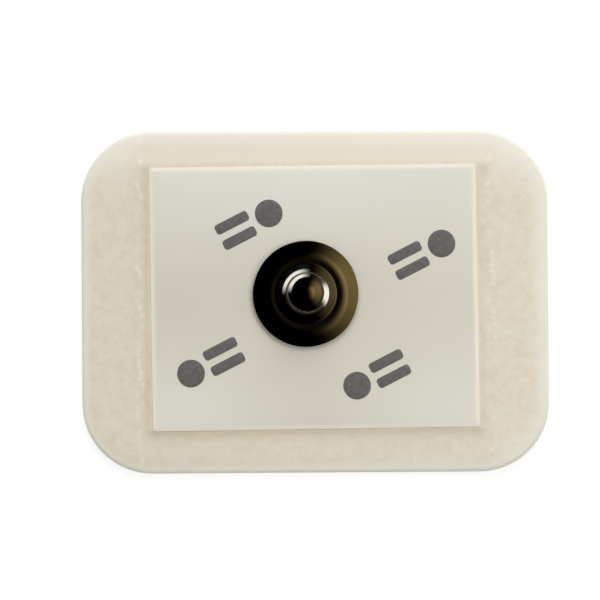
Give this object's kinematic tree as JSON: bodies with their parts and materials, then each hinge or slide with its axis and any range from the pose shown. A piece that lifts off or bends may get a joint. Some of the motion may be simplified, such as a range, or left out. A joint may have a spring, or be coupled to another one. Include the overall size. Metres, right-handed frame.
{
  "type": "ecg electrode",
  "caption": "Snap-type ECG monitoring electrode: soft rectangular pad with round corners, label, metal snap stud, sensor eyelet and conductive gel.",
  "frame": {"origin": "middle of the pad's skin face", "axes": "+X along the pad's long side, +Y along its short side, +Z away from the skin, along the snap"},
  "size_m": [0.044, 0.0322, 0.0048],
  "materials": {
    "pad_cloth": "soft cream cloth with a fine felted surface",
    "label_paper": "smooth coated off-white label",
    "snap_metal": "bright nickel plate, mirror smooth",
    "sensor_coat": "moulded plastic with a matt silver chloride coat",
    "solid_gel": "clear, faintly green, soft gel"
  },
  "bodies": {
    "root": {"backing_pad": "pad_cloth", "label": "label_paper", "snap_stud": "snap_metal", "sensor_eyelet": "sensor_coat", "gel_pad": "solid_gel"}
  },
  "joints": []
}
